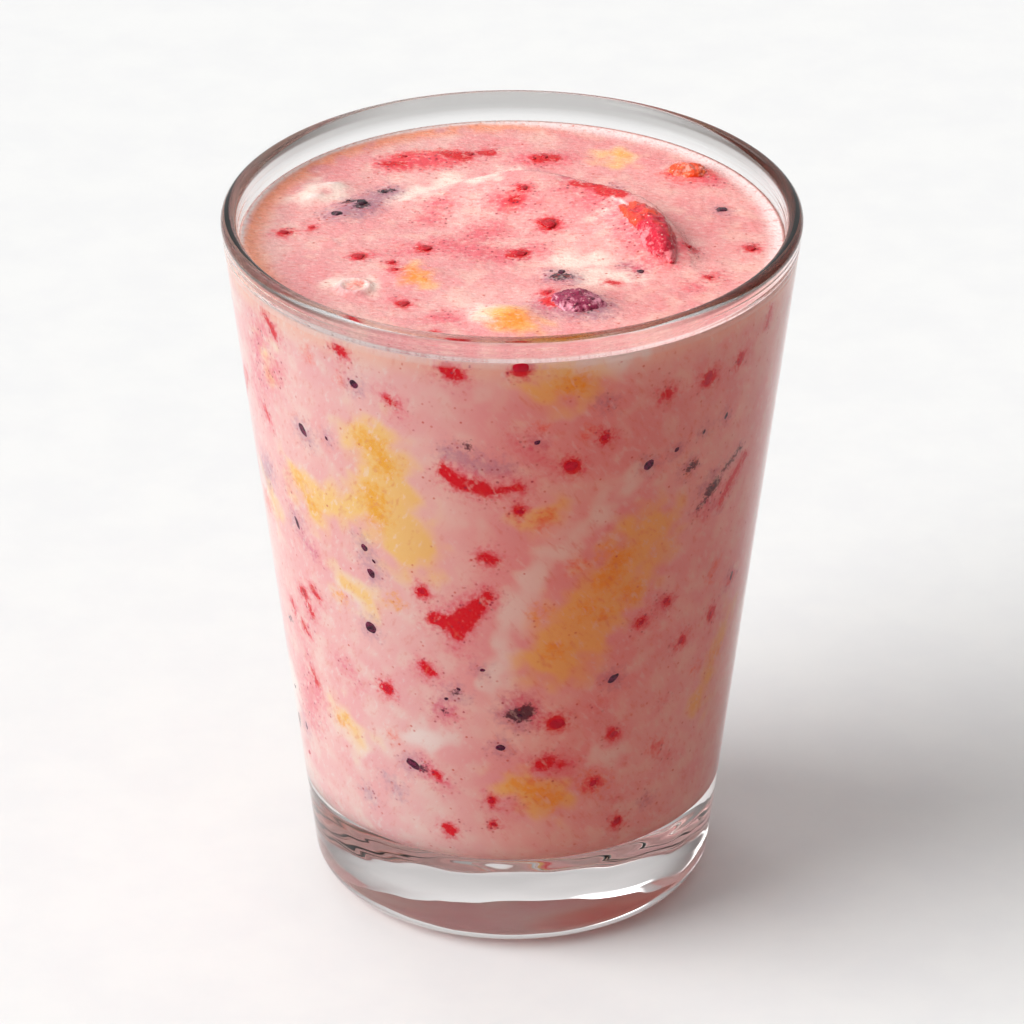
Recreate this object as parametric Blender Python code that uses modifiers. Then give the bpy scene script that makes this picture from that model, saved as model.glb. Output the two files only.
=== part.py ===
"""Berry smoothie in a tapered glass tumbler with a heavy base.

Metres, +Z up. The origin is the middle of the glass's foot, on the table, and the drink is seen from -Y.
The glass and the drink are turned profiles. The drink's top is then raised into a folded swirl, with fruit
pieces lying in beds cut into it, and seeds and fruit bits fused on.
"""

import math

import bmesh
import bpy
from mathutils import Matrix, Vector, noise

MM = 0.001
GAP = 0.3 * MM
MERGE_DISTANCE = 0.01 * MM
SHARP_ANGLE = math.radians(50)

# Glass
HEIGHT = 111.5 * MM
RIM_RADIUS = 44.0 * MM
FOOT_LINE_RADIUS = 30.2 * MM
WALL_AT_RIM = 2.3 * MM
WALL_AT_FLOOR = 3.3 * MM
LIP_HEIGHT = 1.1 * MM
FLOOR_Z = 15.0 * MM
FLOOR_FILLET = 6.0 * MM
HEEL_RADIUS = 5.0 * MM
HOLLOW_RADIUS = 24.0 * MM
HOLLOW_DEPTH = 2.0 * MM
HOLLOW_RINGS = 4
GLASS_SIDES = 64
LIP_STEPS = 8
HEEL_STEPS = 6
FILLET_STEPS = 5

# Drink
LEVEL = 106.9 * MM
DRINK_SIDES = 96
TOP_RINGS = 22
DRINK_FILLET_STEPS = 4
MENISCUS_RISE = 0.6 * MM
MENISCUS_WIDTH = 1.2 * MM

# The fold of the swirl runs along this crest, steep on its outer side and sloping gently inside
FOLD_CREST_MM = ((-24, 7), (-18, 11.5), (-4, 18.3), (4.4, 18.2), (17.4, 10.4), (22.5, 3), (26.7, -8.5), (28, -14))
FOLD_HEIGHT = 2.4 * MM
FOLD_OUTER_WIDTH = 1.4 * MM
FOLD_INNER_WIDTH = 10.0 * MM
CREST_STEPS = 12

# Bearings round a point inside the fold: it rises from nothing over the first two and sinks over the last two
FOLD_CENTRE = Vector((-0.9, -8.6)) * MM
FOLD_BEARINGS = [math.radians(angle) for angle in (-10, 25, 70, 140)]

# Low mounds where pulp lies under the skin: across, along, height, half width, half length, turn
MOUNDS_MM = (
    (-28.5, 15.5, 1.0, 5.0, 3.2, 20),
    (-24.0, 10.0, 0.5, 5.0, 2.4, 40),
    (-0.5, -26.5, 1.0, 5.0, 3.6, -10),
    (8.5, -20.5, 0.7, 6.0, 4.0, -5),
    (7.4, -13.0, 0.6, 4.0, 2.0, -10),
    (0.5, 12.0, 0.6, 6.0, 4.5, 0),
    (27.0, 22.5, 0.5, 4.5, 2.6, -15),
    (-13.0, 28.3, 0.5, 9.0, 2.6, 5),
    (5.0, 27.8, 0.4, 5.0, 2.2, 0),
    (-14.0, -13.0, 0.4, 5.0, 3.5, 0),
)

# Seeds and fruit bits that stand out of the top: across, along, size
BITS_MM = (
    (-26.5, 7.7, 2.4),
    (-22.9, 11.3, 2.8),
    (-19.6, 16.1, 1.8),
    (-13.0, -3.7, 2.0),
    (-23.1, -6.5, 2.2),
    (5.5, 3.9, 2.6),
    (1.1, -5.4, 2.4),
    (-16.0, -22.3, 1.8),
    (19.2, -11.6, 1.8),
    (31.9, 9.8, 2.0),
    (36.0, -3.7, 1.6),
    (-34.5, 1.8, 1.8),
    (-17.9, -8.5, 1.6),
    (1.8, 13.0, 2.6),
    (7.4, -12.9, 2.0),
    (-16.5, 27.8, 2.0),
    (-6.6, 28.9, 2.2),
    (5.0, 27.8, 2.4),
)
BIT_SIDES = 6
BIT_RINGS = 4
BIT_FLATNESS = 0.7

# Fruit pieces that lie in the top: length, width, height, lumps, bend, then place across, along and above
# the level, turn round the vertical and tilt round the length
FRUIT = {
    "strawberry_piece": dict(
        size=(23.0, 6.0, 5.6), lumps=0.15, bend=60.0, seed=3.1,
        place=(20.6, 0.8, 0.9), turn=-70, tilt=12, sides=20, rings=12,
    ),
    "strawberry_chip": dict(
        size=(6.6, 5.0, 2.6), lumps=0.18, bend=30.0, seed=5.7,
        place=(27.0, 22.6, 0.1), turn=-12, tilt=0, sides=14, rings=8,
    ),
    "blueberry_piece": dict(
        size=(9.0, 6.6, 3.6), lumps=0.16, bend=40.0, seed=8.4,
        place=(9.6, -22.8, 0.2), turn=-8, tilt=0, sides=16, rings=9,
    ),
}
LUMP_SCALE = 1.7
BED_LIFT = 3.0 * MM
LIFT_ABOVE = 0.3


def outer_radius(z):
    """Radius of the glass's straight outer wall at a height."""
    return FOOT_LINE_RADIUS + (RIM_RADIUS - FOOT_LINE_RADIUS) * z / HEIGHT


def inner_radius(z):
    """Radius of the inner wall, which is thicker towards the floor."""
    down = (HEIGHT - z) / (HEIGHT - FLOOR_Z)
    return outer_radius(z) - WALL_AT_RIM - (WALL_AT_FLOOR - WALL_AT_RIM) * down


def arc(centre, radii, start, end, steps):
    """Points of an elliptic arc in the profile plane, from one angle in degrees to another."""
    points = []
    for i in range(steps + 1):
        angle = math.radians(start + (end - start) * i / steps)
        points.append((centre[0] + radii[0] * math.cos(angle), centre[1] + radii[1] * math.sin(angle)))
    return points


def bowl_corner(floor_z, shrink, steps):
    """The rounded corner between the bowl's floor and its wall, from the floor up."""
    radius = FLOOR_FILLET
    centre = (inner_radius(floor_z + radius) - shrink - radius, floor_z + radius)
    return arc(centre, (radius, radius), -90, 0, steps)


def glass_profile():
    """From the middle of the bowl's floor up the inside, over the lip and down to the hollow under the base."""
    lip_z = HEIGHT - LIP_HEIGHT
    lip_half = (outer_radius(lip_z) - inner_radius(lip_z)) / 2
    lip_centre = (outer_radius(lip_z) - lip_half, lip_z)
    lean = math.atan((RIM_RADIUS - FOOT_LINE_RADIUS) / HEIGHT)
    heel_centre = (outer_radius(HEEL_RADIUS) - HEEL_RADIUS / math.cos(lean), HEEL_RADIUS)
    points = [(0, FLOOR_Z)]
    points += bowl_corner(FLOOR_Z, 0, FILLET_STEPS)
    points += arc(lip_centre, (lip_half, LIP_HEIGHT), 180, 0, LIP_STEPS)
    points += arc(heel_centre, (HEEL_RADIUS, HEEL_RADIUS), -math.degrees(lean), -90, HEEL_STEPS)
    for ring in range(HOLLOW_RINGS, -1, -1):
        share = ring / HOLLOW_RINGS
        points.append((HOLLOW_RADIUS * share, HOLLOW_DEPTH * (1 - share**2)))
    return points


def drink_profile():
    """From the middle of the drink's top out to the wall, down it and along the floor."""
    edge = inner_radius(LEVEL) - GAP
    rings = [(edge * i / TOP_RINGS, LEVEL) for i in range(TOP_RINGS + 1)]
    corner = bowl_corner(FLOOR_Z + GAP, GAP, DRINK_FILLET_STEPS)
    return rings + corner[::-1] + [(0, FLOOR_Z + GAP)]


def smoothstep(low, high, value):
    share = min(max((value - low) / (high - low), 0), 1)
    return share * share * (3 - 2 * share)


def crest_line():
    """Points of a smooth curve through the crest's points, with the first and last only steering its ends."""
    crest = [Vector(point) * MM for point in FOLD_CREST_MM]
    line = []
    for before, start, end, after in zip(crest, crest[1:], crest[2:], crest[3:]):
        for i in range(CREST_STEPS):
            t = i / CREST_STEPS
            line.append(
                start
                + (end - before) * (t / 2)
                + (before * 2 - start * 5 + end * 4 - after) * (t**2 / 2)
                + (start * 3 - before - end * 3 + after) * (t**3 / 2)
            )
    return line


CREST = crest_line()


def fold_height(x, y):
    """Height of the swirl's fold above the level."""
    point = Vector((x, y))
    nearest = min(range(len(CREST) - 1), key=lambda i: (CREST[i] - point).length_squared)
    along = (CREST[nearest + 1] - CREST[nearest]).normalized()
    away = point - CREST[nearest]
    outward = along.y * away.x - along.x * away.y < 0
    bearing = math.atan2(y - FOLD_CENTRE.y, x - FOLD_CENTRE.x)
    strength = smoothstep(*FOLD_BEARINGS[:2], bearing) * (1 - smoothstep(*FOLD_BEARINGS[2:], bearing))
    width = FOLD_OUTER_WIDTH if outward else FOLD_INNER_WIDTH
    return FOLD_HEIGHT * strength * math.exp(-((away.length / width) ** 2))


def mound_height(x, y):
    """Height of the low mounds above the level."""
    total = 0
    for across, along, height, half_width, half_length, turn in MOUNDS_MM:
        away = Matrix.Rotation(-math.radians(turn), 2) @ (Vector((x, y)) / MM - Vector((across, along)))
        total += height * MM * math.exp(-((away.x / half_width) ** 2) - (away.y / half_length) ** 2)
    return total


def top_height(x, y):
    """Height of the drink's top at a point, with its swirl and the rise where it wets the wall."""
    to_wall = inner_radius(LEVEL) - GAP - math.hypot(x, y)
    meniscus = MENISCUS_RISE * math.exp(-max(to_wall, 0) / MENISCUS_WIDTH)
    return LEVEL + fold_height(x, y) + mound_height(x, y) + meniscus


def collection(name):
    made = bpy.data.collections.new(name)
    bpy.context.scene.collection.children.link(made)
    return made


def material(name, colour, roughness, **inputs):
    """A Principled material of one colour."""
    made = bpy.data.materials.new(name)
    made.use_nodes = True
    shader = made.node_tree.nodes["Principled BSDF"]
    shader.inputs["Base Color"].default_value = (*colour, 1)
    shader.inputs["Roughness"].default_value = roughness
    for socket, value in inputs.items():
        shader.inputs[socket.replace("_", " ")].default_value = value
    return made


def add_object(name, mesh, into, finish=None):
    obj = bpy.data.objects.new(name, mesh)
    into.objects.link(obj)
    if finish:
        mesh.materials.append(finish)
    return obj


def as_mesh(obj):
    """The object's evaluated mesh, as new mesh data."""
    bpy.context.view_layer.update()
    evaluated = obj.evaluated_get(bpy.context.evaluated_depsgraph_get())
    return bpy.data.meshes.new_from_object(evaluated)


def turned(name, profile, sides, into, finish):
    """A profile turned round the Z axis with a Screw modifier."""
    mesh = bpy.data.meshes.new(name)
    vertices = [(r, 0, z) for r, z in profile]
    mesh.from_pydata(vertices, [(i, i + 1) for i in range(len(profile) - 1)], [])
    obj = add_object(name, mesh, into, finish)
    screw = obj.modifiers.new("turn", "SCREW")
    screw.steps = screw.render_steps = sides
    screw.use_merge_vertices = True
    screw.merge_threshold = MERGE_DISTANCE
    return obj


def smooth(obj):
    obj.data.shade_smooth()
    obj.data.set_sharp_from_angle(angle=SHARP_ANGLE)


def raise_top(obj):
    """Moves the flat top's vertices up to the swirl."""
    for vertex in obj.data.vertices:
        if vertex.co.z > LEVEL - MERGE_DISTANCE:
            vertex.co.z = top_height(vertex.co.x, vertex.co.y)


def fruit_mesh(name, swell, lift, size, lumps, bend, seed, place, turn, tilt, sides, rings):
    """A lumpy, bent ellipsoid set down in the drink. Its cutter swells on every side and is lifted to stand
    open above it."""
    half_size = Vector(size) / 2 * MM
    mesh = bpy.data.meshes.new(name)
    shape = bmesh.new()
    bmesh.ops.create_uvsphere(shape, u_segments=sides, v_segments=rings, radius=1)
    for vertex in shape.verts:
        lump = 1 + lumps * noise.noise(vertex.co * LUMP_SCALE + Vector((seed, 0, 0)))
        raised = lift if vertex.co.z > LIFT_ABOVE else 0
        vertex.co = Vector(unit * (half * lump + swell) for unit, half in zip(vertex.co, half_size))
        vertex.co.y -= vertex.co.x**2 / (2 * bend * MM)
        vertex.co.z += raised
    shape.to_mesh(mesh)
    shape.free()
    across, along, above = place
    move = Matrix.Translation((across * MM, along * MM, LEVEL + above * MM))
    spin = Matrix.Rotation(math.radians(turn), 4, "Z") @ Matrix.Rotation(math.radians(tilt), 4, "X")
    mesh.transform(move @ spin)
    return mesh


def add_bits(into):
    """One squashed bead for each seed or fruit bit, half sunk in the top."""
    for i, (across, along, size) in enumerate(BITS_MM):
        mesh = bpy.data.meshes.new(f"bit_{i}")
        shape = bmesh.new()
        bmesh.ops.create_uvsphere(shape, u_segments=BIT_SIDES, v_segments=BIT_RINGS, radius=size / 2 * MM)
        shape.to_mesh(mesh)
        shape.free()
        bit = add_object(mesh.name, mesh, into)
        bit.location = (across * MM, along * MM, top_height(across * MM, along * MM))
        bit.rotation_euler.z = i
        bit.scale.z = BIT_FLATNESS


def join_bits(obj, bits):
    """Fuses the bits to the drink with one Boolean union, and removes them."""
    union = obj.modifiers.new("bits", "BOOLEAN")
    union.operation = "UNION"
    union.operand_type = "COLLECTION"
    union.collection = bits
    union.solver = "MANIFOLD"
    fused = as_mesh(obj)
    obj.modifiers.remove(union)
    obj.data = fused
    for bit in list(bits.objects):
        bpy.data.objects.remove(bit)
    bpy.data.collections.remove(bits)


def cut(obj, cutter):
    """Cuts a piece's bed into the drink, wider than the piece by the gap."""
    cutter.hide_render = True
    cutter.display_type = "WIRE"
    bed = obj.modifiers.new(cutter.name, "BOOLEAN")
    bed.operation = "DIFFERENCE"
    bed.object = cutter
    bed.solver = "MANIFOLD"


def main():
    for obj in list(bpy.data.objects):
        bpy.data.objects.remove(obj)
    parts = collection("berry_smoothie")
    cutters = collection("cutters")

    clear = material("soda_lime_glass", (0.95, 0.96, 0.96), 0.02, Transmission_Weight=1.0, IOR=1.52)
    pink = material("blended_berries", (0.83, 0.42, 0.42), 0.35)
    finishes = {
        "strawberry_piece": material("strawberry_flesh", (0.65, 0.03, 0.02), 0.3),
        "strawberry_chip": material("strawberry_core", (0.75, 0.12, 0.03), 0.3),
        "blueberry_piece": material("blueberry_skin", (0.12, 0.02, 0.07), 0.35),
    }

    glass = turned("glass", glass_profile(), GLASS_SIDES, parts, clear)
    smooth(glass)

    drink = turned("smoothie", drink_profile(), DRINK_SIDES, parts, pink)
    drink.data = as_mesh(drink)
    drink.modifiers.clear()
    raise_top(drink)
    bits = collection("bits")
    add_bits(bits)
    join_bits(drink, bits)
    smooth(drink)

    for name, shape in FRUIT.items():
        smooth(add_object(name, fruit_mesh(name, 0, 0, **shape), parts, finishes[name]))
        bed = fruit_mesh(name + "_bed", GAP, BED_LIFT, **shape)
        cut(drink, add_object(bed.name, bed, cutters))


main()
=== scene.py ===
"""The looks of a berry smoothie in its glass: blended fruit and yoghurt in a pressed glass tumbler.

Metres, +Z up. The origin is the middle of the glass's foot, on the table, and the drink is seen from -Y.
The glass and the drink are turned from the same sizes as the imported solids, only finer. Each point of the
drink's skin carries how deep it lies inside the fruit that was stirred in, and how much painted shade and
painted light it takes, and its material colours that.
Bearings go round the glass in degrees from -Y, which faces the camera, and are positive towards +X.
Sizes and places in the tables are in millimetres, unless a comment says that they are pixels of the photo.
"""

import math

import bmesh
import bpy
import numpy as np
from mathutils import Matrix, Vector, noise


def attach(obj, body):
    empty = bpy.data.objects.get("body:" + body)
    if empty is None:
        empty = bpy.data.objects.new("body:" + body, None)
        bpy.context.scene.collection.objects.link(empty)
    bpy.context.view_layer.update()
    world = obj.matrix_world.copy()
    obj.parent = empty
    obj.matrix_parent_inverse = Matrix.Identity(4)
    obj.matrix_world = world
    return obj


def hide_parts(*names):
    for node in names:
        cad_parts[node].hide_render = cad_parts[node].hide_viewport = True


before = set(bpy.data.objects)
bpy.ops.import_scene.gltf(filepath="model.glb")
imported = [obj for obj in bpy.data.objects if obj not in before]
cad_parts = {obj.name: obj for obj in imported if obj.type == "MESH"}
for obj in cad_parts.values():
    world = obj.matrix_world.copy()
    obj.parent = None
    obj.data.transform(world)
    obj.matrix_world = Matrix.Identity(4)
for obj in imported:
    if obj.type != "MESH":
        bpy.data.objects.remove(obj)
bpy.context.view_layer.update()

MM = 0.001
NOISE_SEED = 3
noise.seed_set(NOISE_SEED)

# Glass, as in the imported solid
HEIGHT = 111.5
RIM_RADIUS = 44.0
FOOT_LINE_RADIUS = 30.2
WALL_AT_RIM = 2.3
WALL_AT_FLOOR = 3.3
LIP_HEIGHT = 1.1
FLOOR_Z = 15.0
FLOOR_FILLET = 6.0
HEEL_RADIUS = 5.0
HOLLOW_RADIUS = 24.0
HOLLOW_DEPTH = 2.0
GLASS_COLUMNS = 256
CORNER_STEPS = 20
HOLLOW_RINGS = 16
RIPPLE = 0.03
RIPPLE_PITCH = 1.1
RIPPLE_RINGS = 36
RIPPLES_ABOVE_DRINK = 0.8
RIPPLES_BELOW_LEVEL = 2

# Drink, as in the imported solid, but reaching just into the wall so that no air shows between them
LEVEL = 106.9
REACH = 0.15
EDGE_REACH = 0.03
MENISCUS_RISE = 0.25
MENISCUS_WIDTH = 1.0
DRINK_COLUMNS = 384
TOP_RINGS = 84
WALL_RINGS = 126

# The fold of the swirl: its crest line, its widths outside and inside, and the bearings round a point inside
# it over which it rises and sinks again
FOLD_CREST = (
    (-24, 7), (-18, 11.5), (-4, 18.3), (4.4, 18.2), (17.4, 10.4), (22.5, 3), (26.7, -8.5), (28, -14),
)
FOLD_HEIGHT = 2.4
FOLD_OUTER_WIDTH = 1.4
FOLD_INNER_WIDTH = 10.0
FOLD_CENTRE = (-0.9, -8.6)
FOLD_BEARINGS = [math.radians(angle) for angle in (-10, 25, 70, 140)]
CREST_STEPS = 12

# Ripples and grain of the top: height, size, noise seed and how far they are drawn out across. They calm
# down towards the wall.
RIPPLES = ((0.16, 7, 2, 0.55), (0.07, 2.6, 5, 1), (0.05, 1.3, 9, 1))
CALM_WIDTH = 2.5

# Low mounds where pulp lies under the skin: across, along, height, half width, half length, turn
MOUNDS = (
    (-28.5, 15.5, 0.8, 5.0, 3.2, 20),
    (-24.0, 10.0, 0.5, 5.0, 2.4, 40),
    (-0.5, -26.5, 1.0, 5.0, 3.6, -10),
    (8.5, -20.5, 0.7, 6.0, 4.0, -5),
    (7.4, -13.0, 0.6, 4.0, 2.0, -10),
    (0.5, 12.0, 0.6, 6.0, 4.5, 0),
    (27.0, 22.5, 0.5, 4.5, 2.6, -15),
    (-13.0, 28.3, 0.5, 9.0, 2.6, 5),
    (5.0, 27.8, 0.4, 5.0, 2.2, 0),
    (-14.0, -13.0, 0.4, 5.0, 3.5, 0),
    (-30.1, 13.3, 0.5, 1.6, 1.1, 30),
    (-27.8, 17.0, 0.5, 2.2, 1.1, 15),
    (20.4, 1.2, 0.9, 11.0, 3.4, -70),
    (27.0, 22.6, 0.4, 4.0, 2.6, -12),
    (9.6, -22.8, 1.1, 4.8, 3.4, -8),
)

# Open bubbles in the skin: across, along, radius of the ring
BUBBLES = ((-23.5, -17.0, 2.2), (-27.0, -2.0, 0.6), (15.2, 1.5, 0.5), (-12.5, -18.0, 0.5), (30.5, -9.0, 0.6))

# Colour stirred in, as brush strokes that were picked where the photo shows them: half breadth, then
# the stroke's points as pixels of the photo, across and down. On the wall the half breadth is in pixels too,
# and on the top it is in millimetres.
WALL_STROKES = {
    "cream": (
        (10, (645, 474), (615, 500), (576, 532), (544, 564)),
        (12, (544, 564), (526, 590), (512, 614), (503, 645)), (7, (503, 645), (492, 690)),
        (13, (340, 580), (362, 598)), (12, (340, 716), (358, 742)), (9, (268, 352), (262, 375)),
        (8, (258, 455), (270, 500)), (14, (585, 365), (625, 358)), (12, (410, 740), (440, 735)),
        (9, (600, 745), (615, 755)),
    ),
    "mango": (
        (29, (372, 442), (386, 480)), (32, (386, 480), (384, 515), (408, 545)),
        (16, (297, 479), (315, 510)), (18, (315, 500), (350, 505), (380, 490)),
        (32, (650, 530), (616, 580)), (36, (616, 580), (590, 610), (562, 652)),
        (20, (545, 388), (580, 384)), (17, (513, 784), (555, 800)),
        (9, (728, 614), (714, 655), (702, 696)), (9, (338, 577), (370, 602)),
        (9, (340, 712), (356, 736)), (9, (548, 515), (530, 520)), (6, (266, 350), (268, 372)),
        (6, (260, 455), (276, 510)),
    ),
    "orange": (
        (6, (366, 438), (380, 449), (386, 465)), (8, (373, 493), (375, 513)), (2, (298, 479)),
        (3.5, (313, 505)), (7, (568, 385), (576, 383)), (6.5, (622, 555), (608, 582)), (6, (630, 590)),
        (3, (588, 608)), (3.5, (553, 649)), (1.5, (605, 615)), (1.2, (538, 612)), (2, (606, 551)),
        (4, (521, 783), (528, 786)), (5.5, (538, 790), (551, 797)), (1.4, (338, 593)),
        (1.4, (394, 601)), (1.6, (340, 719)), (3, (716, 650)), (5, (596, 782)),
    ),
    "coral": (
        (3.2, (384, 687)), (4.5, (596, 782)), (4.5, (658, 746)), (1.5, (391, 735)),
        (2.5, (585, 432), (592, 431)), (1.6, (717, 562), (712, 576)), (1.6, (306, 352), (309, 360)),
        (2.5, (540, 520), (548, 516)), (1.5, (541, 429)), (1.5, (576, 566)), (2.0, (697, 666)),
        (2, (341, 380)),
    ),
    "plum": (
        (8, (303, 430), (307, 438)), (8, (355, 386)), (13, (452, 453), (478, 464)),
        (10, (480, 464), (506, 468)), (9, (363, 543), (372, 572)),
        (2.5, (297, 525), (303, 535), (313, 553)), (10, (369, 627)), (10, (455, 694)), (9, (442, 708)),
        (22, (520, 712)), (5, (411, 763), (424, 769)), (6, (384, 777), (396, 791)),
        (4, (365, 789), (371, 799)), (1.8, (301, 708), (306, 731)), (8, (614, 677)), (8, (607, 403)),
        (9, (691, 466)), (4, (700, 507), (712, 487), (724, 468), (741, 446)),
        (7, (702, 490), (716, 470)), (6, (648, 799)), (6, (666, 600)), (3, (728, 583), (734, 570)),
        (5, (706, 500), (720, 505)),
    ),
    "ink": (
        (8.5, (516, 714), (526, 711)), (4.5, (708, 492), (717, 480)), (1.8, (724, 468), (740, 447)),
        (2.2, (465, 442), (467, 445)), (1.6, (456, 692)), (1.2, (443, 709)),
        (3, (690, 468), (696, 463)), (1.6, (418, 766), (424, 769)), (1.2, (700, 506), (706, 497)),
    ),
    "red": (
        (1.3, (265, 314), (270, 325)), (2.6, (270, 326), (274, 336)), (0.9, (264, 405), (269, 419)),
        (4.2, (338, 351), (341, 354)), (1.4, (390, 399), (396, 406)), (5.5, (446, 370), (455, 374)),
        (4.2, (518, 368), (526, 368)), (4.6, (444, 471), (452, 479), (467, 485)),
        (5, (467, 485), (486, 488)), (2, (488, 489), (503, 489), (518, 487)),
        (0.9, (441, 468), (444, 462)), (4, (486, 556), (491, 559)), (0.8, (477, 556), (486, 557)),
        (4, (487, 595), (478, 604)), (7, (477, 604), (468, 614)), (9, (466, 614), (459, 623)),
        (6, (457, 628), (455, 634)), (4.5, (432, 617), (445, 621)), (7, (445, 621), (458, 622)),
        (4.2, (424, 667), (428, 671)), (2.6, (434, 773), (438, 776)), (4.6, (446, 829), (451, 833)),
        (4.2, (542, 762), (550, 763)), (2.8, (562, 767)), (2.4, (596, 783)), (5, (667, 393)),
        (4, (706, 383), (711, 374)), (1.6, (766, 326), (769, 311)),
        (2, (720, 503), (735, 472), (745, 453)), (1.8, (307, 604), (311, 614)),
        (1.4, (302, 620), (306, 630)), (1.4, (312, 587), (318, 596)), (0.8, (290, 597), (293, 611)),
        (0.7, (310, 666), (316, 683)), (2.2, (711, 617), (715, 606)), (1.8, (730, 580), (733, 572)),
        (2.4, (682, 639)), (2.0, (605, 436)),
    ),
    "haze": (
        (7, (268, 322), (278, 342)), (4, (262, 402), (273, 428)), (8, (338, 352), (344, 360)),
        (6.5, (386, 395), (400, 411)), (13, (447, 371), (456, 374)), (9, (518, 368), (527, 368)),
        (13, (448, 476), (485, 488)), (11, (480, 484), (520, 486)), (12, (488, 557)),
        (16, (432, 616), (482, 600)), (12, (456, 622), (457, 642)), (12, (425, 669)), (6, (384, 687)),
        (9, (426, 767), (445, 783)), (10, (448, 831)), (13, (540, 762), (566, 767)), (11, (596, 782)),
        (12, (667, 393)), (8, (708, 379)), (5, (768, 318)), (9, (703, 512), (738, 470)),
        (5, (308, 600), (306, 632)), (4, (312, 587), (322, 600)), (3, (292, 600), (296, 625)),
        (2.2, (302, 640), (310, 666), (316, 683), (326, 706)), (5, (341, 661), (352, 679)),
        (5, (711, 620), (717, 600)), (6, (682, 640)), (8, (663, 602), (640, 625)), (6, (606, 436)),
        (7, (571, 464)), (6, (658, 746), (668, 756)), (4, (663, 701)), (3, (603, 705)), (4, (617, 800)),
        (5, (619, 819)), (5, (513, 806)), (9, (520, 700), (545, 720)), (11, (440, 709), (450, 715)),
        (3, (303, 535), (318, 560)), (3, (285, 470), (290, 500)), (3, (255, 380), (262, 410)),
        (8, (520, 440), (560, 470)),
    ),
}
TOP_STROKES = {
    "cream": (
        (2.4, (322, 184), (331, 185)), (2.0, (311, 196), (318, 197)),
        (1.7, (404, 197), (445, 184), (486, 176), (520, 170)), (2.6, (572, 272), (628, 276)),
        (2.6, (482, 312), (499, 311)), (1.6, (600, 156), (634, 159)), (1.0, (605, 208), (617, 216)),
        (1.6, (560, 262), (600, 262)), (1.4, (340, 283), (366, 283)),
    ),
    "mango": (
        (2.0, (414, 271), (415, 278)), (2.8, (503, 315), (520, 319)), (1.8, (600, 157), (628, 158)),
    ),
    "orange": (
        (0.8, (414, 272), (415, 277)), (1.2, (507, 320), (516, 318)), (0.6, (688, 172)),
    ),
    "coral": (
        (2.5, (404, 161), (424, 158), (446, 155)), (1.5, (510, 202), (515, 199)),
        (1.6, (676, 171), (704, 172)), (0.8, (353, 285), (357, 284)),
    ),
    "plum": (
        (3.0, (352, 208), (366, 203)), (2.2, (338, 213), (350, 208)), (1.8, (374, 197), (392, 191)),
        (1.6, (334, 216)), (0.9, (722, 209)), (1.0, (628, 266), (640, 270)),
        (1.6, (553, 276), (570, 278)), (3.4, (556, 301), (592, 306)),
        # a thin dark line along the fold's crest: painted shade where the fold's far side drops away
        (0.22, (537, 171), (567, 177), (590, 182), (614, 186), (628, 193)),
        (1.0, (512, 255), (520, 254)),
    ),
    "ink": (
        (0.5, (357, 206), (364, 204)), (0.3, (380, 192), (388, 190)), (0.35, (345, 203), (352, 201)),
        (0.6, (578, 307), (586, 308)), (0.3, (568, 293), (588, 295)), (0.45, (557, 276), (566, 275)),
        (0.3, (720, 209), (726, 209)),
    ),
    "red": (
        (0.9, (446, 153), (466, 157)), (0.4, (385, 164), (394, 164)), (0.7, (483, 153), (492, 153)),
        (1.0, (538, 159), (552, 158)), (1.2, (602, 190), (619, 193)), (0.55, (575, 182), (602, 187)),
        (0.8, (514, 255), (520, 254)), (0.8, (549, 300), (556, 301)), (0.35, (281, 232), (288, 232)),
        (0.5, (514, 200), (518, 198)), (0.3, (610, 282), (614, 283)), (0.4, (433, 333)),
        (0.45, (398, 163), (404, 163)),
    ),
    "haze": (
        (3.0, (392, 163), (424, 160), (462, 157)), (1.8, (483, 154), (494, 153)),
        (2.0, (524, 160), (562, 159)), (2.4, (570, 184), (612, 192)), (3.0, (505, 203), (520, 199)),
        (2.0, (546, 227), (554, 226)), (2.2, (512, 256), (535, 249)), (2.2, (398, 251), (430, 249)),
        (2.4, (440, 203)), (2.4, (426, 219), (434, 216)), (3.0, (476, 236), (494, 230)),
        (1.8, (440, 317), (450, 319)), (2.4, (616, 208), (636, 236), (664, 262)),
        (2.2, (655, 226), (684, 250)), (1.0, (686, 283), (697, 289)), (0.9, (716, 276)),
        (2.0, (682, 175), (718, 182)), (1.6, (359, 257), (372, 256)), (2.0, (552, 302)),
        (3.0, (450, 245), (500, 255)), (1.2, (640, 270)), (1.0, (390, 262)),
        (2.0, (590, 200), (610, 205)),
    ),
}

# Painted highlights: white glossy spots on the top's bumps and round its open bubble
TOP_PAINTED_GLINTS = (
    (0.3, (-30.6, 12.7), (-29.6, 13.1)),
    (0.3, (-28.2, 16.5), (-26.8, 17.1)),
    (0.25, (-4.4, -27.6), (-3.4, -28.1)),
    (0.4, (15.0, 8.9), (16.6, 7.4), (16.9, 5.8)),
    (0.25, (-21.3, -17.0), (-21.9, -15.5), (-23.5, -14.8), (-25.1, -15.5), (-25.7, -17.0)),
    (0.25, (-25.7, -17.0), (-25.1, -18.5), (-23.5, -19.2), (-21.9, -18.5), (-21.3, -17.0)),
)

# How far a seed's or bit's own colour spreads round it, on the wall and on the top
WALL_HALOS = {"plum": 0.5, "haze": 0.5, "red": 0.1}
TOP_HALOS = {"plum": 0.5, "haze": 0.7, "red": 0.0}

# Noise in the drink: sizes of its two mottles, and the size, seed and reach of what bends the strokes' edges
SWIRL_SIZE = 13
MOTTLE_SIZE = 3.2
WARPS = ((5.0, 21, 0.6), (1.8, 33, 0.4))
DEEPEST = 6
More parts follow.
